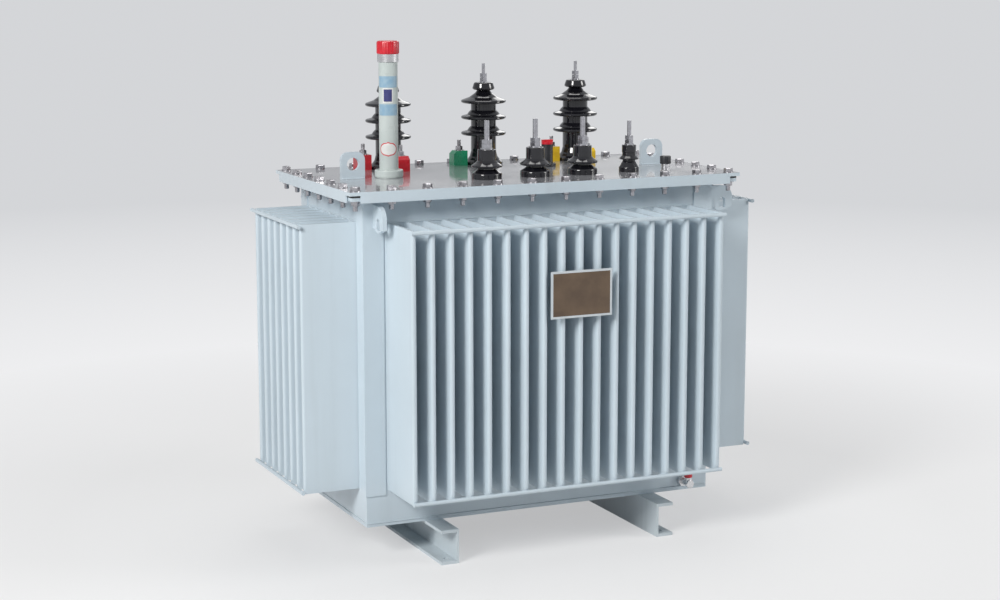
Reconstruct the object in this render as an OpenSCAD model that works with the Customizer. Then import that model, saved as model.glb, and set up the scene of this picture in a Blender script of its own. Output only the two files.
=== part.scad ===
// Oil-immersed distribution transformer with a sealed corrugated tank, in millimetres.
// X runs along the long front, Y towards the high-voltage side, Z up from the ground.
// The origin is at ground level, at the centre of the four holes in the skids.

/* [Skids] */
// Height of the channel section
skid_h = 80; // [60:1:140]
// Flange width of the channel section
skid_flange = 43; // [35:1:60]
// Thickness of the channel's web
skid_web_t = 5; // [4:1:10]
// Thickness of the channel's flanges
skid_flange_t = 7; // [5:1:10]
// Length of each skid
skid_len = 600; // [460:1:760]
// Distance between the hole rows of the two skids
gauge = 550; // [420:1:700]
// Radius of the holes in the skids
skid_hole_r = 7; // [5:0.5:8]
// Distance of a hole from the end of its skid
skid_hole_in = 25; // [16:1:60]

/* [Tank] */
// Length of the tank over its walls
tank_l = 880; // [740:1:1060]
// Width of the tank over its walls
tank_w = 410; // [345:1:500]
// Thickness of the tank's bottom
floor_t = 8; // [5:1:14]
// Height of the plain band below the fins
band_h = 74; // [50:1:100]
// Height of the corrugated walls
wall_h = 612; // [500:1:740]
// Height of the plain rim above the fins
rim_h = 56; // [40:1:90]
// Thickness of the band and the rim
band_t = 5; // [3:1:8]
// Thickness of the corrugated sheet between the fins
sheet_t = 3; // [2:0.5:5]
// Width of the flange that carries the cover, beyond the tank wall
flange_out = 44; // [36:1:60]
// Thickness of that flange
flange_t = 8; // [6:1:14]

/* [Fins] */
// Distance from fin to fin
fin_pitch = 45; // [40:1:54]
// Thickness of a fin
fin_t = 12; // [8:1:16]
// Depth of the fins on the long walls
long_fin_d = 155; // [110:1:190]
// Depth of the fins on the end walls
end_fin_d = 134; // [100:1:170]
// Number of fins on each long wall
long_fins = 18; // [12:1:18]
// Number of fins on each end wall
end_fins = 8; // [5:1:8]
// Diameter of the rods that tie the fin ends
rod_d = 9; // [6:1:10]

/* [Corners] */
// Leg of a corner post along the long wall
post_leg_long = 46; // [30:1:50]
// Leg of a corner post along the end wall
post_leg_end = 38; // [25:1:42]
// Thickness of a corner post
post_t = 3; // [2:1:5]
// Reach of a tank hook from its post
hook_reach = 60; // [50:1:75]
// Thickness of a tank hook
hook_t = 10; // [8:1:14]

/* [Cover] */
// Overhang of the cover beyond the tank wall
cover_out = 50; // [47:1:64]
// Thickness of the cover
cover_t = 8; // [6:1:12]
// Depth of the cover's turned-down lips, with the cover's thickness
lip_d = 25; // [22:1:34]
// Thickness of the lips
lip_t = 4; // [3:1:4]
// Thickness of the gasket under the cover
gasket_t = 5; // [3:1:8]
// Width of a cover lifting lug
lug_w = 58; // [50:1:76]
// Height of a cover lifting lug
lug_h = 62; // [55:1:80]
// Thickness of a cover lifting lug
lug_t = 10; // [8:1:16]
// Radius of the hole in a lifting lug
lug_hole_r = 15; // [10:1:18]
// Distance of a lifting lug from the middle
lug_x = 389; // [350:1:395]

/* [High voltage] */
// Distance between the high-voltage bushings
hv_pitch = 250; // [220:1:260]
// Distance of the high-voltage row behind the middle
hv_y = 175; // [150:1:180]
// Height of the high-voltage porcelain
hv_h = 200; // [185:1:260]
// Radius of its sheds
hv_shed_r = 55; // [48:1:62]
// Radius of its body
hv_body_r = 31; // [26:1:36]
// Radius of the high-voltage stud
hv_stud_r = 4; // [3:0.5:6]
// Height of the stud above the porcelain
hv_stud_h = 46; // [34:1:60]

/* [Low voltage] */
// Distance between the low-voltage bushings
lv_pitch = 123; // [100:1:130]
// Distance of the low-voltage row in front of the middle
lv_y = 122; // [95:1:150]
// Radius of the low-voltage stud
lv_stud_r = 6; // [5:0.5:8]
// Radius of the neutral stud
neutral_stud_r = 5; // [4:0.5:6]
// Offset of the middle bushings from the middle of the cover
bushing_x = 18; // [0:1:20]

/* [Fittings] */
// Radius of the oil gauge's tube
gauge_r = 22; // [18:1:25]
// Height of the oil gauge over its cap
gauge_h = 314; // [240:1:370]
// Distance of the oil gauge left of the middle
gauge_x = 299; // [290:1:320]
// Distance of the tap changer right of the middle
tap_x = 136; // [130:1:146]
// Distance of the tap changer behind the middle
tap_y = 60; // [40:1:80]
// Height of the tap changer's housing
tap_h = 54; // [36:1:60]
// Distance of the filler valve right of the middle
filler_x = 344; // [330:1:360]
// Distance of the filler valve in front of the middle
filler_y = 156; // [140:1:165]
// Distance of the drain valve right of the middle
drain_x = 372; // [340:1:385]
// Height of the drain valve above the ground
drain_z = 104; // [104:1:112]
// Width of the nameplate
plate_w = 142; // [110:1:180]
// Height of the nameplate
plate_h = 97; // [78:1:130]
// Distance of the nameplate's middle right of the middle
plate_x = 16; // [0:1:60]
// Height of the nameplate's middle above the ground
plate_z = 612; // [500:1:640]

/* [Hidden] */
$fn = 64;
seat = 0.3;                                   // clearance between pieces that rest or turn on each other
running = 0.1;                                // radial clearance of a knob on its spindle
bleed = 1;                                    // how far a cut runs past its face
floor_z = skid_h;
band_z = floor_z + floor_t;
wall_z = band_z + band_h;
rim_z = wall_z + wall_h;
flange_z = rim_z + rim_h;
gasket_z = flange_z + flange_t;
cover_z = gasket_z + gasket_t;
top_z = cover_z + cover_t;
cover_l = tank_l + 2 * cover_out;
cover_w = tank_w + 2 * cover_out;
flange_l = tank_l + 2 * flange_out;
flange_w = tank_w + 2 * flange_out;
skid_hole_x = gauge / 2;
skid_back_x = skid_hole_x - skid_flange / 2 + 0.5;
skid_hole_y = skid_len / 2 - skid_hole_in;
lip_notch = 26;                               // how far each lip stops short of the cover's corner
bolt_in = 20;                                 // cover bolts, from the cover's edge
cover_bolts_long = 12;
cover_bolts_end = 7;
cover_bolt_r = 6.5;
hook_top_z = rim_z + rim_h - 14;
green = [0.05, 0.58, 0.42];
red = [0.78, 0.08, 0.13];
yellow = [0.85, 0.68, 0.08];
paint = [0.74, 0.79, 0.82];
porcelain = [0.09, 0.06, 0.07];
steel = [0.72, 0.73, 0.75];

// ---------- shared shapes ----------

// Points of an arc from angle a to angle b, in degrees
function arc(cx, cy, r, a, b, steps = 6) =
    [for (i = [0 : steps]) let (t = a + (b - a) * i / steps) [cx + r * cos(t), cy + r * sin(t)]];

module frame_ring(l, w, t, h) {
    difference() {
        translate([-l / 2, -w / 2, 0]) cube([l, w, h]);
        translate([-l / 2 + t, -w / 2 + t, -bleed]) cube([l - 2 * t, w - 2 * t, h + 2 * bleed]);
    }
}

module hex_nut(across, h) {
    cylinder(r = across / 2 / cos(30), h = h, $fn = 6);
}

// A row of fins along X, standing out towards -Y from the line y = 0
module fin_row(count, depth) {
    for (i = [0 : count - 1])
        translate([(i - (count - 1) / 2) * fin_pitch, 0, 0]) {
            translate([-fin_t / 2, -depth + fin_t / 2, 0])
                cube([fin_t, depth - fin_t / 2, wall_h]);
            translate([0, -depth + fin_t / 2, 0])
                cylinder(d = fin_t, h = wall_h);
        }
}

module corrugated_wall(length, count, depth) {
    translate([0, 0, wall_z]) {
        translate([-length / 2, 0, 0]) cube([length, sheet_t, wall_h]);
        fin_row(count, depth);
    }
}

// ---------- skids and tank ----------

// Channel that runs front to back and opens towards +X, with its back at x = 0
module skid() {
    difference() {
        translate([0, -skid_len / 2, 0]) cube([skid_flange, skid_len, skid_h]);
        translate([skid_web_t, -skid_len / 2 - bleed, skid_flange_t])
            cube([skid_flange, skid_len + 2 * bleed, skid_h - 2 * skid_flange_t]);
        for (side = [-1, 1])
            translate([skid_hole_x - skid_back_x, side * skid_hole_y, -bleed])
                cylinder(r = skid_hole_r, h = skid_flange_t + 2 * bleed);
    }
}

module right_skid() {
    color(paint) translate([skid_back_x, 0, 0]) skid();
}

module left_skid() {
    color(paint) mirror([1, 0, 0]) translate([skid_back_x, 0, 0]) skid();
}

module base_plate() {
    color(paint) translate([-tank_l / 2, -tank_w / 2, floor_z]) cube([tank_l, tank_w, floor_t]);
}

module bottom_band() {
    color(paint) translate([0, 0, band_z]) difference() {
        frame_ring(tank_l, tank_w, band_t, band_h);
        translate([drain_x, -tank_w / 2 - bleed, drain_z - band_z])
            rotate([-90, 0, 0]) cylinder(r = drain_pipe_r + seat, h = band_t + 2 * bleed);
    }
}

module front_corrugated_wall() {
    color(paint) translate([0, -tank_w / 2, 0]) corrugated_wall(tank_l, long_fins, long_fin_d);
}

module rear_corrugated_wall() {
    color(paint) rotate([0, 0, 180]) translate([0, -tank_w / 2, 0])
        corrugated_wall(tank_l, long_fins, long_fin_d);
}

module right_corrugated_wall() {
    color(paint) rotate([0, 0, 90]) translate([0, -tank_l / 2, 0])
        corrugated_wall(tank_w - 2 * sheet_t, end_fins, end_fin_d);
}

module left_corrugated_wall() {
    color(paint) rotate([0, 0, -90]) translate([0, -tank_l / 2, 0])
        corrugated_wall(tank_w - 2 * sheet_t, end_fins, end_fin_d);
}

// Angle section that covers the corner joint of the walls
module corner_post() {
    post_z = wall_z - 10;
    post_h = flange_z - post_z;
    translate([-tank_l / 2 - post_t, -tank_w / 2 - post_t, post_z]) {
        cube([post_leg_long + post_t, post_t, post_h]);
        cube([post_t, post_leg_end + post_t, post_h]);
    }
}

module corner_posts() {
    color(paint)
        for (mx = [0, 1], my = [0, 1])
            mirror([mx, 0, 0]) mirror([0, my, 0]) corner_post();
}

module rod(length) {
    translate([-length / 2, 0, 0]) rotate([0, 90, 0]) cylinder(d = rod_d, h = length);
}

// Rods across the fin tips, one at the top and one at the bottom of each wall
module fin_rods() {
    long_rod = (long_fins - 1) * fin_pitch + fin_t + 2;
    end_rod = (end_fins - 1) * fin_pitch + fin_t + 14;
    rod_in = rod_d / 2;
    color(paint)
        for (z = [wall_z + rod_in, rim_z - rod_in]) {
            for (turn = [0, 180]) rotate([0, 0, turn])
                translate([0, -tank_w / 2 - long_fin_d - rod_in, z]) rod(long_rod);
            for (turn = [90, 270]) rotate([0, 0, turn])
                translate([0, -tank_l / 2 - end_fin_d - rod_in, z]) rod(end_rod);
        }
}

module upper_rim() {
    color(paint) translate([0, 0, rim_z]) frame_ring(tank_l, tank_w, band_t, rim_h);
}

// Cuts a hole for every cover bolt through a plate of thickness h
module cover_bolt_holes(h) {
    step_x = (cover_l - 2 * bolt_in) / (cover_bolts_long - 1);
    step_y = (cover_w - 2 * bolt_in) / (cover_bolts_end - 1);
    for (side = [-1, 1]) {
        for (i = [0 : cover_bolts_long - 1])
            translate([-cover_l / 2 + bolt_in + i * step_x, side * (cover_w / 2 - bolt_in), -bleed])
                cylinder(r = cover_bolt_r, h = h + 2 * bleed);
        for (i = [1 : cover_bolts_end - 2])
            translate([side * (cover_l / 2 - bolt_in), -cover_w / 2 + bolt_in + i * step_y, -bleed])
                cylinder(r = cover_bolt_r, h = h + 2 * bleed);
    }
}

module rim_flange() {
    color(paint) translate([0, 0, flange_z]) difference() {
        frame_ring(flange_l, flange_w, flange_out + band_t, flange_t);
        cover_bolt_holes(flange_t);
    }
}

module cover_gasket() {
    color([0.15, 0.15, 0.16]) translate([0, 0, gasket_z]) difference() {
        frame_ring(flange_l, flange_w, flange_out + band_t, gasket_t);
        cover_bolt_holes(gasket_t);
    }
}

// ---------- cover ----------

module cover() {
    lip_x = cover_l - 2 * lip_notch;
    lip_y = cover_w - 2 * lip_notch;
    lip_drop = lip_d - cover_t;
    color(paint) {
        translate([0, 0, cover_z]) difference() {
            translate([-cover_l / 2, -cover_w / 2, 0]) cube([cover_l, cover_w, cover_t]);
            cover_bolt_holes(cover_t);
        }
        for (side = [-1, 1]) {
            translate([-lip_x / 2, side * (cover_w - lip_t) / 2 - lip_t / 2, cover_z - lip_drop])
                cube([lip_x, lip_t, lip_drop]);
            translate([side * (cover_l - lip_t) / 2 - lip_t / 2, -lip_y / 2, cover_z - lip_drop])
                cube([lip_t, lip_y, lip_drop]);
        }
    }
}

// Plate with rounded shoulders and a shackle hole, facing the front
module cover_lug() {
    shoulder = 18;
    hole_z = 34;
    translate([0, lug_t / 2, 0]) rotate([90, 0, 0]) linear_extrude(lug_t) difference() {
        union() {
            translate([-lug_w / 2, 0]) square([lug_w, lug_h - shoulder]);
            translate([-lug_w / 2 + shoulder, 0]) square([lug_w - 2 * shoulder, lug_h]);
            for (side = [-1, 1])
                translate([side * (lug_w / 2 - shoulder), lug_h - shoulder]) circle(r = shoulder);
        }
        translate([0, hole_z]) circle(r = lug_hole_r);
    }
}

module left_cover_lug() {
    color(paint) translate([-lug_x, 0, top_z]) cover_lug();
}

module right_cover_lug() {
    color(paint) translate([lug_x, 0, top_z]) cover_lug();
}

// Hook plate that reaches out along +X from x = 0, with its throat open below
module tank_hook() {
    hook_h = 52;
    crown = 30;
    throat_w = 18;
    throat_h = 24;
    finger = 19;
    throat_mid = hook_reach - finger - throat_w / 2;
    translate([0, hook_t / 2, -hook_h]) rotate([90, 0, 0]) linear_extrude(hook_t) difference() {
        union() {
            square([hook_reach - crown, hook_h]);
            square([hook_reach, hook_h - crown]);
            translate([hook_reach - crown, hook_h - crown]) circle(r = crown);
        }
        translate([throat_mid, throat_h - throat_w / 2]) circle(d = throat_w);
        translate([throat_mid - throat_w / 2, -bleed]) square([throat_w, throat_h - throat_w / 2 + bleed]);
    }
}

// The left pair reaches out to the front and rear, and the right pair to the right
module tank_hook_pair(side) {
    translate([-tank_l / 2 + 26, side * (tank_w / 2 + post_t), hook_top_z])
        rotate([0, 0, side * 90]) tank_hook();
    translate([tank_l / 2 + post_t, side * (tank_w / 2 - 10), hook_top_z]) tank_hook();
}

module front_tank_hooks() {
    color(paint) tank_hook_pair(-1);
}

module rear_tank_hooks() {
    color(paint) tank_hook_pair(1);
}

// ---------- high voltage ----------

hv_foot_r = 47;
hv_shed_step = 39;
hv_first_shed = 76;

// Half profile of one shed whose tip is at height z, going up
function hv_shed(z) = concat(
    [[hv_body_r, z - 6]],
    arc(hv_shed_r - 4, z, 4, -80, 70),
    [[hv_shed_r - 15, z + 7], [hv_body_r + 5, z + 13], [hv_body_r, z + 18]]);

module hv_bushing() {
    neck_r = 16;
    cap_r = 27;
    color(porcelain) rotate_extrude() polygon(concat(
        [[0, 0], [hv_foot_r, 0]],
        arc(hv_foot_r - 3, 5, 3, 0, 60),
        [[hv_body_r + 9, 12], [hv_body_r + 3, 20], [hv_body_r, 32]],
        hv_shed(hv_first_shed),
        hv_shed(hv_first_shed + hv_shed_step),
        [[hv_body_r, hv_first_shed + 2 * hv_shed_step - 6]],
        arc(hv_shed_r - 4, hv_first_shed + 2 * hv_shed_step, 4, -80, 70),
        [[hv_shed_r - 20, hv_h - 36], [neck_r + 5, hv_h - 26], [neck_r, hv_h - 20]],
        arc(cap_r - 4, hv_h - 14, 4, -60, 30),
        arc(cap_r - 8, hv_h - 5, 5, 20, 90),
        [[0, hv_h]]));
}

function hv_x(phase) = bushing_x + phase * hv_pitch;

module hv_bushing_c() {
    translate([hv_x(-1), hv_y, top_z]) hv_bushing();
}

module hv_bushing_b() {
    translate([hv_x(0), hv_y, top_z]) hv_bushing();
}

module hv_bushing_a() {
    translate([hv_x(1), hv_y, top_z]) hv_bushing();
}

module terminal(stud_r, stud_h, washer_r, nut_across) {
    washer_h = 3;
    nut_h = 9;
    cylinder(r = stud_r, h = stud_h);
    cylinder(r = washer_r, h = washer_h);
    translate([0, 0, washer_h]) hex_nut(nut_across, nut_h);
    translate([0, 0, washer_h + nut_h + 1]) hex_nut(nut_across, nut_h);
}

module hv_terminals() {
    color(steel)
        for (phase = [-1 : 1])
            translate([hv_x(phase), hv_y, top_z + hv_h]) terminal(hv_stud_r, hv_stud_h, 9, 16);
}

// Two coloured clamp blocks beside the foot of a bushing, one on its left and one in front
module clamp_pair(phase, tint) {
    clamp_l = 36;
    clamp_w = 30;
    clamp_h = 36;
    clamp_bevel = 8;
    gap = 2;
    front_turns = [-85, -105, -90];           // of the front block, phase by phase
    color(tint) translate([hv_x(phase), hv_y, top_z])
        for (angle = [180, front_turns[phase + 1]]) rotate([0, 0, angle])
            translate([hv_foot_r + gap, clamp_w / 2, 0]) rotate([90, 0, 0]) linear_extrude(clamp_w)
                polygon([[0, 0], [clamp_l, 0], [clamp_l, clamp_h - clamp_bevel],
                    [clamp_l - clamp_bevel, clamp_h], [0, clamp_h]]);
}

module red_clamps() {
    clamp_pair(-1, red);
}

module green_clamps() {
    clamp_pair(0, green);
}

module yellow_clamps() {
    clamp_pair(1, yellow);
}

// ---------- low voltage ----------

lv_h = 68;
neutral_h = 64;

module lv_bushing() {
    bell_r = 35;
    shed_r = 36;
    waist_r = 21;
    block_r = 21.5;
    color(porcelain) rotate_extrude() polygon(concat(
        [[0, 0], [bell_r, 0]],
        arc(bell_r - 5, 10, 5, 0, 60),
        [[waist_r + 4, 19], [waist_r, 22], [waist_r, 25]],
        arc(shed_r - 3, 29, 3, -80, 70),
        [[waist_r + 5, 37], [block_r, 42]],
        arc(block_r - 3, lv_h - 3, 3, 0, 90),
        [[0, lv_h]]));
}

module neutral() {
    bell_r = 24;
    waist_r = 15;
    block_r = 17;
    color(porcelain) rotate_extrude() polygon(concat(
        [[0, 0], [bell_r, 0]],
        arc(bell_r - 4, 9, 4, 0, 60),
        [[waist_r + 2, 22], [waist_r, 25], [waist_r, 27]],
        arc(bell_r - 3, 31, 2, -80, 70),
        [[waist_r + 1, 38], [waist_r + 1, 45], [block_r, 46]],
        arc(block_r - 3, neutral_h - 3, 3, 0, 90),
        [[0, neutral_h]]));
}

function lv_x(phase) = bushing_x + phase * lv_pitch;

module lv_bushing_c() {
    translate([lv_x(-1), -lv_y, top_z]) lv_bushing();
}

module lv_bushing_b() {
    translate([lv_x(0), -lv_y, top_z]) lv_bushing();
}

module lv_bushing_a() {
    translate([lv_x(1), -lv_y, top_z]) lv_bushing();
}

module neutral_bushing() {
    translate([lv_x(2), -lv_y, top_z]) neutral();
}

module lv_terminals() {
    lv_stud_h = 66;
    neutral_stud_h = 57;
    color(steel) {
        for (phase = [-1 : 1])
            translate([lv_x(phase), -lv_y, top_z + lv_h]) terminal(lv_stud_r, lv_stud_h, 15, 22);
        translate([lv_x(2), -lv_y, top_z + neutral_h])
            terminal(neutral_stud_r, neutral_stud_h, 11, 19);
    }
}

// ---------- fittings on the cover ----------

tap_r = 14;
tap_foot_h = 8;
spindle_r = 5;
spindle_h = 4;

module tap_changer_housing() {
    color([0.10, 0.10, 0.11]) translate([tap_x, tap_y, top_z]) {
        cylinder(r = tap_r + 7, h = tap_foot_h);
        cylinder(r = tap_r, h = tap_h);
        cylinder(r = spindle_r, h = tap_h + spindle_h);
    }
}

module tap_changer_knob() {
    knob_h = 11;
    color(red) translate([tap_x, tap_y, top_z + tap_h + seat]) difference() {
        union() {
            cylinder(r = tap_r, h = knob_h - 5);
            translate([-tap_r, -3.5, 0]) cube([2 * tap_r, 7, knob_h]);
        }
        translate([0, 0, -bleed]) cylinder(r = spindle_r + running, h = spindle_h + bleed);
    }
}

gauge_foot_r = 33;
gauge_foot_h = 18;
gauge_cap_h = 30;
gauge_ring_h = 18;
gauge_ring_z = gauge_h - gauge_cap_h - gauge_ring_h;

module on_gauge() {
    translate([-gauge_x, 0, top_z]) children();
}

module gauge_foot() {
    color([0.75, 0.80, 0.79]) on_gauge() rotate_extrude() polygon(concat(
        [[0, 0], [gauge_foot_r - 2, 0], [gauge_foot_r - 2, 2], [gauge_foot_r, 2]],
        arc(gauge_foot_r - 3, gauge_foot_h - 3, 3, 0, 90),
        [[0, gauge_foot_h]]));
}

module gauge_tube() {
    color([0.68, 0.74, 0.72]) on_gauge()
        translate([0, 0, gauge_foot_h]) cylinder(r = gauge_r, h = gauge_ring_z - gauge_foot_h);
}

module gauge_ring() {
    color(steel) on_gauge() translate([0, 0, gauge_ring_z])
        cylinder(r = gauge_r + 2.5, h = gauge_ring_h);
}

module gauge_cap() {
    cap_r = gauge_r + 4;
    color(red) on_gauge() translate([0, 0, gauge_ring_z + gauge_ring_h]) rotate_extrude()
        polygon(concat(
            [[0, 0], [cap_r, 0]],
            arc(cap_r - 2, gauge_cap_h - 2, 2, 0, 90),
            [[0, gauge_cap_h]]));
}

filler_body_h = 18;

module filler_valve() {
    color([0.85, 0.86, 0.88]) translate([filler_x, -filler_y, top_z]) {
        cylinder(r = 12, h = 3);
        cylinder(r = 9.5, h = filler_body_h);
    }
}

module filler_cap() {
    color([0.12, 0.13, 0.16]) translate([filler_x, -filler_y, top_z + filler_body_h])
        rotate_extrude() polygon(concat([[0, 0], [13, 0]], arc(10, 16, 3, 0, 90), [[0, 19]]));
}

// ---------- fittings on the front ----------

drain_pipe_r = 8;
drain_reach = 46;
drain_stem_y = 34;                            // from the tank wall to the valve's stem
bonnet_h = 14;                                // height of the valve's bonnet above the pipe's axis
stem_r = 3;
wheel_h = 9;
wheel_web = 3;                                // closed top of the handwheel's bore

module drain_valve() {
    bonnet_r = 8;
    stem_top = bonnet_h + wheel_h - wheel_web;
    plug_h = 6;
    color(steel) translate([drain_x, -tank_w / 2, drain_z]) {
        translate([0, band_t, 0]) rotate([90, 0, 0]) cylinder(r = drain_pipe_r, h = drain_reach + band_t);
        translate([0, -drain_reach + plug_h, 0]) rotate([90, 0, 0]) hex_nut(18, plug_h);
        translate([0, -4, 0]) rotate([90, 0, 0]) hex_nut(24, 9);
        translate([0, -drain_stem_y, 0]) cylinder(r = bonnet_r, h = bonnet_h);
        translate([0, -drain_stem_y, 0]) cylinder(r = stem_r, h = stem_top);
    }
}

module drain_handwheel() {
    wheel_r = 10;
    color(red) translate([drain_x, -tank_w / 2 - drain_stem_y, drain_z + bonnet_h + seat]) difference() {
        rotate_extrude() polygon(concat(
            [[0, 0], [wheel_r - 2, 0]],
            arc(wheel_r - 2, 2, 2, -90, 0, 4),
            arc(wheel_r - 2, wheel_h - 2, 2, 0, 90, 4),
            [[0, wheel_h]]));
        translate([0, 0, -bleed]) cylinder(r = stem_r + running, h = wheel_h - wheel_web + bleed);
    }
}

plate_t = 1.5;
plate_gap = 10;                               // from the fin tips to the back of the nameplate's frame
fin_tip_y = -tank_w / 2 - long_fin_d;

// Shallow tray with two straps that reach back to the fin tips
module nameplate_frame() {
    rim = 5;
    tray_t = 3;
    tray_w = plate_w + 2 * rim;
    tray_h = plate_h + 2 * rim;
    strap_h = 14;
    strap_w = 2 * fin_pitch + fin_t;
    color([0.78, 0.82, 0.85]) translate([plate_x, fin_tip_y - plate_gap, plate_z]) {
        difference() {
            translate([-tray_w / 2, -tray_t, -tray_h / 2]) cube([tray_w, tray_t, tray_h]);
            translate([-plate_w / 2, -tray_t - bleed, -plate_h / 2])
                cube([plate_w, plate_t + bleed, plate_h]);
        }
        for (side = [-1, 1])
            translate([-strap_w / 2, 0, side * (plate_h / 2 - strap_h) - strap_h / 2])
                cube([strap_w, plate_gap, strap_h]);
    }
}

module nameplate() {
    tray_t = 3;
    color([0.42, 0.36, 0.30])
        translate([plate_x - plate_w / 2, fin_tip_y - plate_gap - tray_t, plate_z - plate_h / 2])
            cube([plate_w, plate_t, plate_h]);
}

left_skid();
right_skid();
base_plate();
bottom_band();
front_corrugated_wall();
rear_corrugated_wall();
left_corrugated_wall();
right_corrugated_wall();
corner_posts();
fin_rods();
upper_rim();
rim_flange();
cover_gasket();
cover();
left_cover_lug();
right_cover_lug();
front_tank_hooks();
rear_tank_hooks();
hv_bushing_c();
hv_bushing_b();
hv_bushing_a();
hv_terminals();
red_clamps();
green_clamps();
yellow_clamps();
lv_bushing_c();
lv_bushing_b();
lv_bushing_a();
neutral_bushing();
lv_terminals();
tap_changer_housing();
tap_changer_knob();
gauge_foot();
gauge_tube();
gauge_ring();
gauge_cap();
filler_valve();
filler_cap();
drain_valve();
drain_handwheel();
nameplate_frame();
nameplate();
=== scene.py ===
import math

import bmesh
import bpy
from mathutils import Matrix, Vector


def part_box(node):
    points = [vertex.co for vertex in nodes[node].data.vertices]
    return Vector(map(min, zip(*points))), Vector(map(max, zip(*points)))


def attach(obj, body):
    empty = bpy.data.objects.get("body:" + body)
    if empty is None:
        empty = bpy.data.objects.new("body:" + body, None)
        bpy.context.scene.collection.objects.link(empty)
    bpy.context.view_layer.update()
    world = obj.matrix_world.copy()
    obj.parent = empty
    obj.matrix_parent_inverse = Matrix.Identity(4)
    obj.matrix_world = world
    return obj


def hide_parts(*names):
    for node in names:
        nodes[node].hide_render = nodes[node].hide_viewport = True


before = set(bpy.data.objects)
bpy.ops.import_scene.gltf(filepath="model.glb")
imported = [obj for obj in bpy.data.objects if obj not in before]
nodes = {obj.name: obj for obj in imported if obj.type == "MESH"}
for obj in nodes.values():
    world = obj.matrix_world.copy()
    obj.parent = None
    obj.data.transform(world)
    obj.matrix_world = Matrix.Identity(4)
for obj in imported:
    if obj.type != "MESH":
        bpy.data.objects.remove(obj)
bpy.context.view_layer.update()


# Small helpers

def linear(r, g, b):
    def one(c):
        c = c / 255
        return c / 12.92 if c <= 0.04045 else ((c + 0.055) / 1.055) ** 2.4
    return (one(r), one(g), one(b), 1)


def middle(node):
    low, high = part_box(node)
    return (low + high) / 2


def meshObject(name, bm):
    bmesh.ops.recalc_face_normals(bm, faces=bm.faces)
    mesh = bpy.data.meshes.new(name)
    bm.to_mesh(mesh)
    bm.free()
    made = bpy.data.objects.new(name, mesh)
    bpy.context.scene.collection.objects.link(made)
    return made


def smoothByAngle(made, degrees=35):
    for polygon in made.data.polygons:
        polygon.use_smooth = True
    made.data.set_sharp_from_angle(angle=math.radians(degrees))


def finishPiece(made, body, material):
    made.data.materials.clear()
    made.data.materials.append(material)
    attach(made, body)
    return made


def lathe(bm, profile, centre, steps=48):
    rings = []
    for radius, height in profile:
        if radius < 1e-6:
            rings.append([bm.verts.new(centre + Vector((0, 0, height)))])
        else:
            rings.append([bm.verts.new(centre + Vector((
                radius * math.cos(2 * math.pi * i / steps),
                radius * math.sin(2 * math.pi * i / steps), height))) for i in range(steps)])
    for low, high in zip(rings, rings[1:]):
        for i in range(steps):
            j = (i + 1) % steps
            corners = [low[i % len(low)], low[j % len(low)], high[j % len(high)], high[i % len(high)]]
            unique = list(dict.fromkeys(corners))
            if len(unique) > 2:
                bm.faces.new(unique)


def newGroup(name, inputs, outputs):
    tree = bpy.data.node_groups.new(name, "ShaderNodeTree")
    for label, kind, value in inputs:
        socket = tree.interface.new_socket(label, in_out="INPUT", socket_type=kind)
        socket.default_value = value
    for label, kind in outputs:
        tree.interface.new_socket(label, in_out="OUTPUT", socket_type=kind)
    return tree, tree.nodes.new("NodeGroupInput"), tree.nodes.new("NodeGroupOutput")


def noiseNode(tree, scale, detail=4, roughness=0.55):
    noise = tree.nodes.new("ShaderNodeTexNoise")
    noise.inputs["Scale"].default_value = scale
    noise.inputs["Detail"].default_value = detail
    noise.inputs["Roughness"].default_value = roughness
    return noise


def mathNode(tree, operation, a, b=None, clamp=False):
    node = tree.nodes.new("ShaderNodeMath")
    node.operation = operation
    node.use_clamp = clamp
    for socket, value in zip(node.inputs, (a, b)):
        if value is None:
            continue
        if isinstance(value, (int, float)):
            socket.default_value = value
        else:
            tree.links.new(value, socket)
    return node.outputs[0]


def mixColour(tree, factor, a, b, blend="MIX"):
    node = tree.nodes.new("ShaderNodeMix")
    node.data_type = "RGBA"
    node.blend_type = blend
    for socket, value in ((node.inputs[0], factor), (node.inputs[6], a), (node.inputs[7], b)):
        if isinstance(value, (int, float)):
            socket.default_value = value
        elif isinstance(value, tuple):
            socket.default_value = value
        else:
            tree.links.new(value, socket)
    return node.outputs[2]


def mapRange(tree, value, fromLow, fromHigh, toLow, toHigh):
    node = tree.nodes.new("ShaderNodeMapRange")
    tree.links.new(value, node.inputs["Value"])
    for label, number in (("From Min", fromLow), ("From Max", fromHigh),
                          ("To Min", toLow), ("To Max", toHigh)):
        if isinstance(number, (int, float)):
            node.inputs[label].default_value = number
        else:
            tree.links.new(number, node.inputs[label])
    return node.outputs["Result"]


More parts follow.
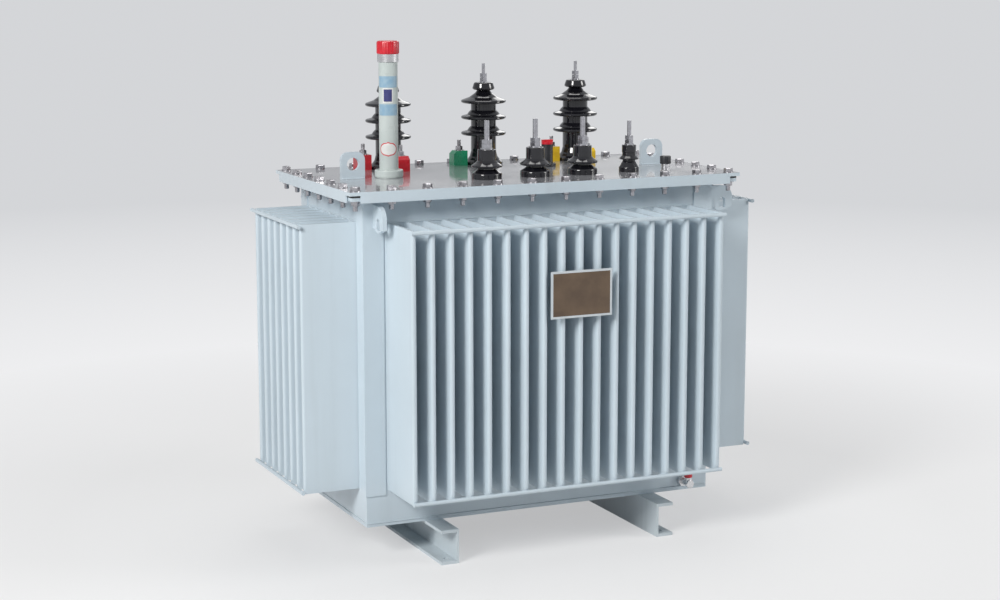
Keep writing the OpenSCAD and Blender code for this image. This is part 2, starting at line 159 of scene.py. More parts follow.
def buildPaintWear():
    tree, start, end = newGroup(
        "paintWear",
        [("Paint", "NodeSocketColor", (0.6, 0.68, 0.72, 1)),
         ("Top", "NodeSocketColor", (0.6, 0.68, 0.72, 1)), ("Dust", "NodeSocketColor", (0.5, 0.5, 0.47, 1)),
         ("Gloss", "NodeSocketFloat", 0.3), ("Peel", "NodeSocketFloat", 1.0),
         ("Dirt", "NodeSocketFloat", 0.25)],
        [("Colour", "NodeSocketColor"), ("Roughness", "NodeSocketFloat"), ("Height", "NodeSocketFloat")])
    place = tree.nodes.new("ShaderNodeTexCoord").outputs["Object"]
    cloud = noiseNode(tree, 3.2, 5)
    streak = noiseNode(tree, 1.0, 4)
    peel = noiseNode(tree, 420, 2)
    stretch = tree.nodes.new("ShaderNodeMapping")
    stretch.inputs["Scale"].default_value = (26, 26, 1.6)
    tree.links.new(place, stretch.inputs["Vector"])
    tree.links.new(place, cloud.inputs["Vector"])
    tree.links.new(place, peel.inputs["Vector"])
    tree.links.new(stretch.outputs["Vector"], streak.inputs["Vector"])
    tone = mapRange(tree, cloud.outputs["Fac"], 0.3, 0.7, 0.95, 1.04)
    shaded = mixColour(tree, 1.0, start.outputs["Paint"], tone, "MULTIPLY")
    facing = tree.nodes.new("ShaderNodeNewGeometry")
    parts = tree.nodes.new("ShaderNodeSeparateXYZ")
    tree.links.new(facing.outputs["Normal"], parts.inputs["Vector"])
    upward = mapRange(tree, parts.outputs["Z"], 0.55, 1.0, 0.0, 1.0)
    # Upward faces take the second top colour in place of the paint: a painted reflection tone for a glossy
    # top face, not a real paint change.
    paintedTopReflectionTone = mixColour(tree, 1.0, start.outputs["Top"], tone, "MULTIPLY")
    shaded = mixColour(tree, upward, shaded, paintedTopReflectionTone)
    settled = mathNode(tree, "MULTIPLY", upward, mapRange(tree, cloud.outputs["Fac"], 0.4, 0.72, 0.0, 1.0))
    runs = mapRange(tree, streak.outputs["Fac"], 0.52, 0.78, 0.0, 0.55)
    grime = mathNode(tree, "ADD", settled, runs, True)
    grime = mathNode(tree, "MULTIPLY", grime, start.outputs["Dirt"])
    colour = mixColour(tree, grime, shaded, start.outputs["Dust"])
    rough = mathNode(tree, "ADD", start.outputs["Gloss"], mathNode(tree, "MULTIPLY", grime, 0.5))
    rough = mathNode(tree, "ADD", rough, mapRange(tree, cloud.outputs["Fac"], 0.3, 0.7, -0.03, 0.04), True)
    tree.links.new(colour, end.inputs["Colour"])
    tree.links.new(rough, end.inputs["Roughness"])
    height = mathNode(tree, "MULTIPLY", peel.outputs["Fac"], start.outputs["Peel"])
    tree.links.new(height, end.inputs["Height"])
    return tree


def buildFinishVary():
    tree, start, end = newGroup(
        "finishVary",
        [("Colour", "NodeSocketColor", (0.5, 0.5, 0.5, 1)),
         ("Second", "NodeSocketColor", (0.4, 0.4, 0.4, 1)),
         ("Scale", "NodeSocketFloat", 40.0), ("Amount", "NodeSocketFloat", 0.5),
         ("Low", "NodeSocketFloat", 0.1), ("High", "NodeSocketFloat", 0.25)],
        [("Colour", "NodeSocketColor"), ("Roughness", "NodeSocketFloat"), ("Height", "NodeSocketFloat")])
    place = tree.nodes.new("ShaderNodeTexCoord").outputs["Object"]
    blot = noiseNode(tree, 1.0, 5)
    fine = noiseNode(tree, 5.0, 3)
    zoomed = tree.nodes.new("ShaderNodeVectorMath")
    zoomed.operation = "SCALE"
    tree.links.new(place, zoomed.inputs[0])
    tree.links.new(start.outputs["Scale"], zoomed.inputs["Scale"])
    for noise in (blot, fine):
        tree.links.new(zoomed.outputs["Vector"], noise.inputs["Vector"])
    share = mathNode(tree, "MULTIPLY", mapRange(tree, blot.outputs["Fac"], 0.35, 0.7, 0.0, 1.0),
                     start.outputs["Amount"])
    colour = mixColour(tree, share, start.outputs["Colour"], start.outputs["Second"])
    rough = mapRange(tree, fine.outputs["Fac"], 0.3, 0.7, start.outputs["Low"], start.outputs["High"])
    tree.links.new(colour, end.inputs["Colour"])
    tree.links.new(rough, end.inputs["Roughness"])
    tree.links.new(fine.outputs["Fac"], end.inputs["Height"])
    return tree


paintWear = buildPaintWear()
finishVary = buildFinishVary()


def newMaterial(name, group, values, metallic=0.0, coat=0.0, coatRough=0.05, bumpDepth=0.0001,
                bumpStrength=0.3, specular=0.5):
    made = bpy.data.materials.new(name)
    made.use_nodes = True
    tree = made.node_tree
    shader = tree.nodes["Principled BSDF"]
    effect = tree.nodes.new("ShaderNodeGroup")
    effect.node_tree = group
    for label, value in values.items():
        effect.inputs[label].default_value = value
    tree.links.new(effect.outputs["Colour"], shader.inputs["Base Color"])
    tree.links.new(effect.outputs["Roughness"], shader.inputs["Roughness"])
    bump = tree.nodes.new("ShaderNodeBump")
    bump.inputs["Strength"].default_value = bumpStrength
    bump.inputs["Distance"].default_value = bumpDepth
    tree.links.new(effect.outputs["Height"], bump.inputs["Height"])
    tree.links.new(bump.outputs["Normal"], shader.inputs["Normal"])
    shader.inputs["Metallic"].default_value = metallic
    shader.inputs["Coat Weight"].default_value = coat
    shader.inputs["Coat Roughness"].default_value = coatRough
    shader.inputs["Specular IOR Level"].default_value = specular
    return made


tankColour = linear(196, 209, 218)
tankPaint = newMaterial("tankPaint", paintWear, {
    "Paint": tankColour, "Top": tankColour, "Dust": linear(150, 158, 160), "Gloss": 0.34,
    "Peel": 1.0, "Dirt": 0.22},
    coat=0.25, coatRough=0.12)
skidPaint = newMaterial("skidPaint", paintWear, {
    "Paint": linear(195, 205, 211), "Top": linear(195, 205, 211),
    "Dust": linear(128, 132, 132), "Gloss": 0.42, "Peel": 1.4, "Dirt": 0.4},
    coat=0.12, coatRough=0.25)
# The cover's upward faces get a darker, greyer colour than its tank-coloured sides: painted reflection tone
# on the glossy top.
coverPaint = newMaterial("coverPaint", paintWear, {
    "Paint": tankColour, "Top": linear(164, 165, 170), "Dust": linear(142, 138, 138), "Gloss": 0.12,
    "Peel": 0.35, "Dirt": 0.18},
    coat=0.7, coatRough=0.04)
rubber = newMaterial("rubber", finishVary, {
    "Colour": linear(38, 38, 41), "Second": linear(66, 64, 62), "Scale": 30.0, "Amount": 0.6,
    "Low": 0.62, "High": 0.86}, bumpDepth=0.0004)
glaze = newMaterial("glaze", finishVary, {
    "Colour": linear(25, 25, 31), "Second": linear(15, 15, 19), "Scale": 14.0, "Amount": 0.8,
    "Low": 0.08, "High": 0.17}, coat=0.5, coatRough=0.05, bumpDepth=0.0006, bumpStrength=0.12)
plating = newMaterial("plating", finishVary, {
    "Colour": linear(198, 198, 203), "Second": linear(150, 148, 151), "Scale": 120.0, "Amount": 0.5,
    "Low": 0.14, "High": 0.3}, metallic=1.0, bumpDepth=0.0002, bumpStrength=0.2)
zinc = newMaterial("zinc", finishVary, {
    "Colour": linear(192, 191, 195), "Second": linear(138, 134, 137), "Scale": 90.0, "Amount": 0.65,
    "Low": 0.2, "High": 0.4}, metallic=1.0, bumpDepth=0.0002, bumpStrength=0.25)
redGloss = newMaterial("redGloss", finishVary, {
    "Colour": linear(206, 26, 44), "Second": linear(170, 16, 32), "Scale": 60.0, "Amount": 0.55,
    "Low": 0.26, "High": 0.42}, coat=0.2, bumpDepth=0.0002)
redClamp = newMaterial("redClamp", finishVary, {
    "Colour": linear(196, 24, 40), "Second": linear(120, 26, 30), "Scale": 45.0, "Amount": 0.6,
    "Low": 0.24, "High": 0.4}, coat=0.25, bumpDepth=0.0003)
greenClamp = newMaterial("greenClamp", finishVary, {
    "Colour": linear(34, 146, 104), "Second": linear(16, 104, 74), "Scale": 45.0, "Amount": 0.6,
    "Low": 0.22, "High": 0.38}, coat=0.3, bumpDepth=0.0003)
yellowClamp = newMaterial("yellowClamp", finishVary, {
    "Colour": linear(224, 186, 30), "Second": linear(176, 136, 22), "Scale": 45.0, "Amount": 0.5,
    "Low": 0.24, "High": 0.4}, coat=0.25, bumpDepth=0.0003)
blackPlastic = newMaterial("blackPlastic", finishVary, {
    "Colour": linear(34, 35, 39), "Second": linear(56, 57, 60), "Scale": 70.0, "Amount": 0.45,
    "Low": 0.34, "High": 0.52}, bumpDepth=0.0003)
gaugeShell = newMaterial("gaugeShell", finishVary, {
    "Colour": linear(196, 204, 202), "Second": linear(182, 192, 190), "Scale": 16.0, "Amount": 0.7,
    "Low": 0.26, "High": 0.4}, coat=0.2, bumpDepth=0.0002)
turnedMetal = newMaterial("turnedMetal", finishVary, {
    "Colour": linear(222, 222, 224), "Second": linear(190, 189, 190), "Scale": 100.0, "Amount": 0.5,
    "Low": 0.2, "High": 0.34}, metallic=0.9, bumpDepth=0.0002)
plateMetal = newMaterial("plateMetal", finishVary, {
    "Colour": linear(208, 215, 219), "Second": linear(186, 194, 199), "Scale": 30.0, "Amount": 0.5,
    "Low": 0.3, "High": 0.44}, metallic=0.35, bumpDepth=0.0002)
plateFace = newMaterial("plateFace", finishVary, {
    "Colour": linear(110, 92, 75), "Second": linear(90, 75, 63), "Scale": 22.0, "Amount": 0.8,
    "Low": 0.28, "High": 0.45}, metallic=0.3, bumpDepth=0.0003)
sightGlass = newMaterial("sightGlass", finishVary, {
    "Colour": linear(42, 44, 104), "Second": linear(70, 76, 136), "Scale": 60.0, "Amount": 0.6,
    "Low": 0.06, "High": 0.14}, coat=0.8)
bandBlue = newMaterial("bandBlue", finishVary, {
    "Colour": linear(134, 168, 192), "Second": linear(160, 186, 200), "Scale": 110.0, "Amount": 0.7,
    "Low": 0.34, "High": 0.46}, bumpDepth=0.0001)
labelWhite = newMaterial("labelWhite", finishVary, {
    "Colour": linear(226, 226, 224), "Second": linear(206, 208, 206), "Scale": 60.0, "Amount": 0.6,
    "Low": 0.34, "High": 0.46}, bumpDepth=0.0001)
print("materials made")


# CAD nodes that stay

keptFinish = {
    "left_skid": skidPaint, "right_skid": skidPaint, "base_plate": tankPaint, "bottom_band": tankPaint,
    "corner_posts": tankPaint, "fin_rods": tankPaint, "upper_rim": tankPaint, "rim_flange": tankPaint,
    "cover_gasket": rubber, "cover": coverPaint, "left_cover_lug": tankPaint, "right_cover_lug": tankPaint,
    "front_tank_hooks": tankPaint, "rear_tank_hooks": tankPaint,
    "hv_bushing_c": glaze, "hv_bushing_b": glaze, "hv_bushing_a": glaze, "hv_terminals": plating,
    "red_clamps": redClamp, "green_clamps": greenClamp, "yellow_clamps": yellowClamp,
    "lv_bushing_c": glaze, "lv_bushing_b": glaze, "lv_bushing_a": glaze, "neutral_bushing": glaze,
    "lv_terminals": plating, "tap_changer_housing": blackPlastic, "tap_changer_knob": redGloss,
    "gauge_foot": gaugeShell, "gauge_tube": gaugeShell, "gauge_ring": turnedMetal, "gauge_cap": redGloss,
    "filler_valve": turnedMetal, "filler_cap": blackPlastic, "drain_valve": turnedMetal,
    "drain_handwheel": redGloss, "nameplate_frame": plateMetal, "nameplate": plateFace,
    "front_corrugated_wall": tankPaint, "rear_corrugated_wall": tankPaint,
    "left_corrugated_wall": tankPaint, "right_corrugated_wall": tankPaint}
for name, material in keptFinish.items():
    slots = nodes[name].material_slots
    if not slots:
        nodes[name].data.materials.append(material)
    for each in slots:
        each.material = material


# Geometry nodes

def newTree(name, inputs):
    tree = bpy.data.node_groups.new(name, "GeometryNodeTree")
    tree.interface.new_socket("Geometry", in_out="OUTPUT", socket_type="NodeSocketGeometry")
    for label, kind, value in inputs:
        socket = tree.interface.new_socket(label, in_out="INPUT", socket_type=kind)
        if value is not None:
            socket.default_value = value
    return tree, tree.nodes.new("NodeGroupInput"), tree.nodes.new("NodeGroupOutput")


def runTree(tree, name, values):
    holder = bpy.data.objects.new(name + "Holder", bpy.data.meshes.new(name + "Holder"))
    bpy.context.scene.collection.objects.link(holder)
    modifier = holder.modifiers.new("nodes", "NODES")
    modifier.node_group = tree
    for item in tree.interface.items_tree:
        if item.item_type == "SOCKET" and item.in_out == "INPUT" and item.name in values:
            modifier[item.identifier] = values[item.name]
    bpy.context.view_layer.update()
    graph = bpy.context.evaluated_depsgraph_get()
    mesh = bpy.data.meshes.new_from_object(holder.evaluated_get(graph))
    mesh.name = name
    bpy.data.objects.remove(holder)
    made = bpy.data.objects.new(name, mesh)
    bpy.context.scene.collection.objects.link(made)
    return made


def placeCopies():
    tree, start, end = newTree("placeCopies", [
        ("Part", "NodeSocketObject", None), ("Spots", "NodeSocketObject", None),
        ("Finish", "NodeSocketMaterial", None), ("Turn", "NodeSocketFloat", 0.4),
        ("Seed", "NodeSocketInt", 7)])
    link = tree.links.new
    part = tree.nodes.new("GeometryNodeObjectInfo")
    spots = tree.nodes.new("GeometryNodeObjectInfo")
    link(start.outputs["Part"], part.inputs["Object"])
    link(start.outputs["Spots"], spots.inputs["Object"])
    copies = tree.nodes.new("GeometryNodeInstanceOnPoints")
    link(spots.outputs["Geometry"], copies.inputs["Points"])
    link(part.outputs["Geometry"], copies.inputs["Instance"])
    turn = tree.nodes.new("FunctionNodeRandomValue")
    turn.data_type = "FLOAT"
    link(start.outputs["Turn"], turn.inputs["Max"])
    link(start.outputs["Seed"], turn.inputs["Seed"])
    angles = tree.nodes.new("ShaderNodeCombineXYZ")
    link(turn.outputs[1], angles.inputs["Z"])
    link(angles.outputs[0], copies.inputs["Rotation"])
    real = tree.nodes.new("GeometryNodeRealizeInstances")
    link(copies.outputs["Instances"], real.inputs["Geometry"])
    painted = tree.nodes.new("GeometryNodeSetMaterial")
    link(real.outputs["Geometry"], painted.inputs["Geometry"])
    link(start.outputs["Finish"], painted.inputs["Material"])
    link(painted.outputs["Geometry"], end.inputs["Geometry"])
    return tree


copyTree = placeCopies()


def spread(name, part, spots, material, body, turn=0.5, seed=7):
    pointMesh = bpy.data.meshes.new(name + "Spots")
    pointMesh.from_pydata([tuple(p) for p in spots], [], [])
    pointHolder = bpy.data.objects.new(name + "Spots", pointMesh)
    bpy.context.scene.collection.objects.link(pointHolder)
    made = runTree(copyTree, name, {
        "Part": part, "Spots": pointHolder, "Finish": material, "Turn": turn, "Seed": seed})
    bpy.data.objects.remove(pointHolder)
    bpy.data.objects.remove(part)
    return finishPiece(made, body, material)


# Corrugated walls

fins = {"thick": 0.012, "pitch": 0.045, "pinch": 0.020, "crown": 0.010, "neck": 0.003,
        "pinchThin": 0.35, "pinchBack": 0.0012, "thinPower": 1.6, "endInset": 0.003, "back": 0.0025,
        "merge": 0.00002, "front": 18, "side": 8}


def finOutline(depth, thick, arcSteps=7):
    half, neck = thick / 2, fins["neck"]
    points = []
    for i in range(5):
        a = math.pi / 2 * i / 4
        points.append((-half - neck + neck * math.sin(a), -neck + neck * math.cos(a)))
    for i in range(arcSteps):
        a = math.pi * i / (arcSteps - 1)
        points.append((-half * math.cos(a), -depth + half - half * math.sin(a)))
    for i in range(5):
        a = math.pi / 2 * (1 - i / 4)
        points.append((half + neck - neck * math.sin(a), -neck + neck * math.cos(a)))
    return points


def corrugatedTree():
    tree, start, end = newTree("corrugatedSheet", [
        ("Fin", "NodeSocketObject", None), ("Count", "NodeSocketInt", 18),
        ("Pitch", "NodeSocketFloat", 0.045), ("Finish", "NodeSocketMaterial", None)])
    link = tree.links.new
    part = tree.nodes.new("GeometryNodeObjectInfo")
    link(start.outputs["Fin"], part.inputs["Object"])
    line = tree.nodes.new("GeometryNodeMeshLine")
    link(start.outputs["Count"], line.inputs["Count"])
    offset = tree.nodes.new("ShaderNodeCombineXYZ")
    link(start.outputs["Pitch"], offset.inputs["X"])
    link(offset.outputs[0], line.inputs["Offset"])
    less = tree.nodes.new("ShaderNodeMath")
    less.operation = "SUBTRACT"
    link(start.outputs["Count"], less.inputs[0])
    less.inputs[1].default_value = 1
    span = tree.nodes.new("ShaderNodeMath")
    span.operation = "MULTIPLY"
    link(less.outputs[0], span.inputs[0])
    link(start.outputs["Pitch"], span.inputs[1])
    half = tree.nodes.new("ShaderNodeMath")
    half.operation = "MULTIPLY"
    link(span.outputs[0], half.inputs[0])
    half.inputs[1].default_value = -0.5
    first = tree.nodes.new("ShaderNodeCombineXYZ")
    link(half.outputs[0], first.inputs["X"])
    link(first.outputs[0], line.inputs["Start Location"])
    copies = tree.nodes.new("GeometryNodeInstanceOnPoints")
    link(line.outputs["Mesh"], copies.inputs["Points"])
    link(part.outputs["Geometry"], copies.inputs["Instance"])
    real = tree.nodes.new("GeometryNodeRealizeInstances")
    link(copies.outputs["Instances"], real.inputs["Geometry"])
    joined = tree.nodes.new("GeometryNodeMergeByDistance")
    link(real.outputs["Geometry"], joined.inputs["Geometry"])
    joined.inputs["Distance"].default_value = 0.00001
    painted = tree.nodes.new("GeometryNodeSetMaterial")
    link(joined.outputs["Geometry"], painted.inputs["Geometry"])
    link(start.outputs["Finish"], painted.inputs["Material"])
    link(painted.outputs["Geometry"], end.inputs["Geometry"])
    return tree


wallTree = corrugatedTree()


def finUnit(name, depth, height):
    bm = bmesh.new()
    pinch, crown = fins["pinch"], fins["crown"]
    rows = []
    levels = [0, 0.0004, crown * 0.35, crown, pinch * 0.55, pinch, pinch * 1.7]
    levels += [height / 2] + [height - z for z in reversed(levels)]
    for z in levels:
        near = min(z, height - z)
        flat = 1 - min(near / pinch, 1)
        thick = fins["thick"] * (1 - fins["pinchThin"] * flat ** fins["thinPower"])
        tip = depth - fins["pinchBack"] * flat ** 2
        pts = finOutline(tip, thick)
        edge = fins["pitch"] / 2
        pts = [(-edge, 0)] + pts + [(edge, 0)]
        rows.append([bm.verts.new((x, y, z)) for x, y in pts])
    for low, high in zip(rows, rows[1:]):
        for i in range(len(low) - 1):
            bm.faces.new((low[i], low[i + 1], high[i + 1], high[i]))
    for row, backwards in ((rows[0], False), (rows[-1], True)):
        inner = row[1:-1]
        n = len(inner)
        for i in range(n // 2):
            a, b, c, d = inner[i], inner[i + 1], inner[n - 2 - i], inner[n - 1 - i]
            corners = list(dict.fromkeys([a, b, c, d] if backwards else [d, c, b, a]))
            if len(corners) > 2:
                bm.faces.new(corners)
    mesh = bpy.data.meshes.new(name)
    bm.to_mesh(mesh)
    bm.free()
    made = bpy.data.objects.new(name, mesh)
    bpy.context.scene.collection.objects.link(made)
    return made


def corrugatedWall(name, node, turn, count):
    low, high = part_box(node)
    tankLow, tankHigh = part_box("upper_rim")
    sideways = turn in (90, 270)
    wallPlane = tankHigh.x if sideways else tankHigh.y
    reach = (high.x if turn == 90 else -low.x if turn == 270 else -low.y if turn == 0 else high.y)
    depth = reach - wallPlane
    height = high.z - low.z
    unit = finUnit(name + "Unit", depth, height)
    made = runTree(wallTree, name, {
        "Fin": unit, "Count": count, "Pitch": fins["pitch"], "Finish": tankPaint})
    bpy.data.objects.remove(unit)
    bm = bmesh.new()
    bm.from_mesh(made.data)
    run = count * fins["pitch"] / 2
    halfLength = (tankHigh.y if sideways else tankHigh.x) - (fins["endInset"] if sideways else 0)
    for side in (-1, 1):
        corners = [(side * run, 0, 0), (side * halfLength, 0, 0),
                   (side * halfLength, 0, height), (side * run, 0, height)]
        bm.faces.new([bm.verts.new(c) for c in corners])
    bmesh.ops.remove_doubles(bm, verts=bm.verts, dist=fins["merge"])
    back = bmesh.ops.extrude_edge_only(bm, edges=[e for e in bm.edges if e.is_boundary])
    for v in (g for g in back["geom"] if isinstance(g, bmesh.types.BMVert)):
        v.co.y = fins["back"]
    rim = [e for e in bm.edges if e.is_boundary]
    bmesh.ops.holes_fill(bm, edges=rim, sides=0)
    bmesh.ops.recalc_face_normals(bm, faces=bm.faces)
    spin = Matrix.Rotation(math.radians(turn), 4, "Z")
    shift = Matrix.Translation((0, -wallPlane, low.z))
    bm.transform(spin @ shift)
    bm.to_mesh(made.data)
    bm.free()
    smoothByAngle(made, 40)
    finishPiece(made, "tank", tankPaint)
    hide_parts(node)
    return made


corrugatedWall("frontFins", "front_corrugated_wall", 0, fins["front"])
corrugatedWall("rightFins", "right_corrugated_wall", 90, fins["side"])
corrugatedWall("rearFins", "rear_corrugated_wall", 180, fins["front"])
corrugatedWall("leftFins", "left_corrugated_wall", 270, fins["side"])
print("corrugated walls made")


# Bolts of the cover

bolts = {"across": 0.019, "headHigh": 0.0078, "washer": 0.0115, "washerHigh": 0.0022,
         "shank": 0.0055, "tail": 0.023, "nutHigh": 0.009, "nutAcross": 0.017, "inset": 0.020,
         "long": 12, "short": 7}


def hexRing(bm, radius, z, turn=0.0):
    return [bm.verts.new((radius * math.cos(math.radians(60 * i) + turn),
                          radius * math.sin(math.radians(60 * i) + turn), z)) for i in range(6)]


def hexBody(bm, across, low, high, chamferTop=True, chamferLow=False):
    wide, narrow = across / 2 / math.cos(math.radians(30)), across / 2 * 0.97
    cut = (high - low) * 0.16
    levels = []
    if chamferLow:
        levels.append((narrow, low))
    levels.append((wide, low + (cut if chamferLow else 0)))
    levels.append((wide, high - (cut if chamferTop else 0)))
    if chamferTop:
        levels.append((narrow, high))
    rings = [hexRing(bm, r, z) for r, z in levels]
    for a, b in zip(rings, rings[1:]):
        for i in range(6):
            bm.faces.new((a[i], a[(i + 1) % 6], b[(i + 1) % 6], b[i]))
    bm.faces.new(list(reversed(rings[0])))
    bm.faces.new(rings[-1])


def coverBolt():
    bm = bmesh.new()
    b = bolts
    coverLow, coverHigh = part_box("cover")
    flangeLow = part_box("rim_flange")[0]
    grip = coverHigh.z - flangeLow.z
    centre = Vector((0, 0, 0))
    lathe(bm, [(0, 0), (b["washer"], 0), (b["washer"], b["washerHigh"]), (0, b["washerHigh"])], centre, 24)
    hexBody(bm, b["across"], b["washerHigh"], b["washerHigh"] + b["headHigh"])
    lathe(bm, [(0, 0), (b["shank"], 0), (b["shank"], -grip - b["tail"] + 0.001),
               (b["shank"] - 0.001, -grip - b["tail"]), (0, -grip - b["tail"])], centre, 20)
    lathe(bm, [(0, -grip), (b["washer"], -grip), (b["washer"], -grip - b["washerHigh"]),
               (0, -grip - b["washerHigh"])], centre, 24)
    nutTop = -grip - b["washerHigh"]
    hexBody(bm, b["nutAcross"], nutTop - b["nutHigh"], nutTop, False, True)
    made = meshObject("coverBolt", bm)
    smoothByAngle(made, 30)
    return made


coverLow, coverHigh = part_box("cover")
spots = []
stepX = (coverHigh.x - coverLow.x - 2 * bolts["inset"]) / (bolts["long"] - 1)
stepY = (coverHigh.y - coverLow.y - 2 * bolts["inset"]) / (bolts["short"] - 1)
for y in (coverLow.y + bolts["inset"], coverHigh.y - bolts["inset"]):
    spots += [(coverLow.x + bolts["inset"] + i * stepX, y, coverHigh.z) for i in range(bolts["long"])]
for x in (coverLow.x + bolts["inset"], coverHigh.x - bolts["inset"]):
    spots += [(x, coverLow.y + bolts["inset"] + i * stepY, coverHigh.z)
              for i in range(1, bolts["short"] - 1)]
spread("coverBolts", coverBolt(), spots, zinc, "tank", turn=1.05, seed=11)
print("cover bolts made")


# Clamp bolts, gauge details, welds

clampBolt = {"across": 0.015, "nutHigh": 0.009, "washer": 0.010, "stud": 0.0045, "tail": 0.014,
             "inset": 0.0195, "leftTurn": 180, "frontTurns": (-85, -105, -90)}


def clampStud():
    bm = bmesh.new()
    c = clampBolt
    centre = Vector((0, 0, 0))
    lathe(bm, [(0, 0), (c["washer"], 0), (c["washer"], 0.002), (0, 0.002)], centre, 20)
    hexBody(bm, c["across"], 0.002, 0.002 + c["nutHigh"])
    lathe(bm, [(0, 0), (c["stud"], 0), (c["stud"], 0.011 + c["tail"]),
               (c["stud"] - 0.001, 0.012 + c["tail"]), (0, 0.012 + c["tail"])], centre, 16)
    made = meshObject("clampStud", bm)
    smoothByAngle(made, 30)
    return made


clampSpots = []
clampPairs = (("red_clamps", "hv_bushing_c"), ("green_clamps", "hv_bushing_b"),
              ("yellow_clamps", "hv_bushing_a"))
for (node, bushing), frontTurn in zip(clampPairs, clampBolt["frontTurns"]):
    low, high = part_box(node)
    axis = middle(bushing)
    away = axis.x - low.x - clampBolt["inset"]
    for degrees in (clampBolt["leftTurn"], frontTurn):
        a = math.radians(degrees)
        clampSpots.append((axis.x + away * math.cos(a), axis.y + away * math.sin(a), high.z))
spread("clampStuds", clampStud(), clampSpots, zinc, "tank", turn=1.0, seed=5)


weld = {"tankRadius": 0.0022, "tankPitch": 0.009, "lugRadius": 0.0028, "lugPitch": 0.006}


def weldBead(name, lines, radius, pitch, material):
    bm = bmesh.new()
    sides = 6
    for start, end, normal in lines:
        start, end, normal = Vector(start), Vector(end), Vector(normal).normalized()
        along = end - start
        count = max(2, int(along.length / pitch))
        across = along.normalized().cross(normal).normalized()
        rings = []
        for i in range(count * 2 + 1):
            t = i / (count * 2)
            swell = radius * (1.0 if i % 2 else 0.72)
            if i in (0, count * 2):
                swell = radius * 0.25
            centre = start + along * t
            rings.append([bm.verts.new(centre + across * swell * math.cos(2 * math.pi * k / sides)
                                       + normal * swell * math.sin(2 * math.pi * k / sides))
                          for k in range(sides)])
        for a, b in zip(rings, rings[1:]):
            for k in range(sides):
                bm.faces.new((a[k], a[(k + 1) % sides], b[(k + 1) % sides], b[k]))
        bm.faces.new(rings[0])
        bm.faces.new(rings[-1])
    made = meshObject(name, bm)
    smoothByAngle(made, 60)
    return finishPiece(made, "tank", material)


tankLow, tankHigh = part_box("upper_rim")
bandLow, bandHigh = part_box("bottom_band")
seams = []
for sign in (-1, 1):
    y = sign * tankHigh.y
    x = sign * tankHigh.x
    outY, outX = (0, sign, 0), (sign, 0, 0)
    for z in (tankLow.z, bandHigh.z):
        seams.append(((-tankHigh.x + 0.05, y, z), (tankHigh.x - 0.05, y, z), outY))
        seams.append(((x, -tankHigh.y + 0.045, z), (x, tankHigh.y - 0.045, z), outX))
    z = bandLow.z + 0.0005
    seams.append(((-tankHigh.x + 0.002, y, z), (tankHigh.x - 0.002, y, z), outY))
    seams.append(((x, -tankHigh.y + 0.002, z), (x, tankHigh.y - 0.002, z), outX))
weldBead("tankSeams", seams, weld["tankRadius"], weld["tankPitch"], tankPaint)

lugSeams = []
for node in ("left_cover_lug", "right_cover_lug"):
    low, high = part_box(node)
    for y in (low.y, high.y):
        lugSeams.append(((low.x, y, low.z + 0.0008), (high.x, y, low.z + 0.0008), (0, 0, 1)))
weldBead("lugSeams", lugSeams, weld["lugRadius"], weld["lugPitch"], tankPaint)


gauge = {"bandLow": (0.144, 0.170), "bandHigh": (0.208, 0.234), "window": (0.176, 0.204),
         "windowHalf": 0.0095, "windowFrame": 0.003, "ovalLow": 0.050, "ovalHigh": 0.083, "ovalHalf": 0.0215,
         "bandHalf": 64}


def wrapPatch(bm, centre, radius, angle, halfAngle, low, high, outline=None, steps=16):
    rows = []
    levels = 12 if outline else 1
    for j in range(levels + 1):
        v = j / levels
        z = low + (high - low) * v
        share = 1.0 if outline is None else max(0.02, math.sqrt(max(0.0, 1 - (2 * v - 1) ** 2)))
        rows.append([bm.verts.new(centre + Vector((
            radius * math.cos(angle + halfAngle * share * (2 * i / steps - 1)),
            radius * math.sin(angle + halfAngle * share * (2 * i / steps - 1)), z)))
            for i in range(steps + 1)])
    for a, b in zip(rows, rows[1:]):
        for i in range(steps):
            bm.faces.new((a[i], a[i + 1], b[i + 1], b[i]))


def shellPatch(name, centre, radius, thickness, angle, halfAngle, low, high, outline=None, steps=16):
    bm = bmesh.new()
    wrapPatch(bm, centre, radius, angle, halfAngle, low, high, outline, steps)
    made = meshObject(name, bm)
    solid = made.modifiers.new("solid", "SOLIDIFY")
    solid.thickness = thickness * 2
    solid.offset = 0
    bpy.context.view_layer.update()
    graph = bpy.context.evaluated_depsgraph_get()
    mesh = bpy.data.meshes.new_from_object(made.evaluated_get(graph))
    made.modifiers.clear()
    made.data = mesh
    bm = bmesh.new()
    bm.from_mesh(made.data)
    bmesh.ops.recalc_face_normals(bm, faces=bm.faces)
    bm.to_mesh(made.data)
    bm.free()
    smoothByAngle(made, 40)
    return made


tubeLow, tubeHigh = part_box("gauge_tube")
tubeMid = (tubeLow + tubeHigh) / 2
tubeFoot = Vector((tubeMid.x, tubeMid.y, coverHigh.z))
tubeRadius = (tubeHigh.x - tubeLow.x) / 2
facing = math.radians(-114)
for name, key in (("gaugeBandLow", "bandLow"), ("gaugeBandHigh", "bandHigh")):
    low, high = gauge[key]
    made = shellPatch(name, tubeFoot, tubeRadius - 0.0001, 0.0004, facing,
                      math.radians(gauge["bandHalf"]), low, high, None, 40)
    finishPiece(made, "tank", bandBlue)
low, high = gauge["window"]
for name, edge, thickness, material in (("gaugeWindowFrame", gauge["windowFrame"], 0.0004, labelWhite),
                                        ("gaugeWindow", 0.0, 0.0007, sightGlass)):
    half = (gauge["windowHalf"] + edge) / tubeRadius
    made = shellPatch(name, tubeFoot, tubeRadius - 0.0001, thickness, facing, half,
                      low - edge, high + edge, None, 12)
    finishPiece(made, "tank", material)
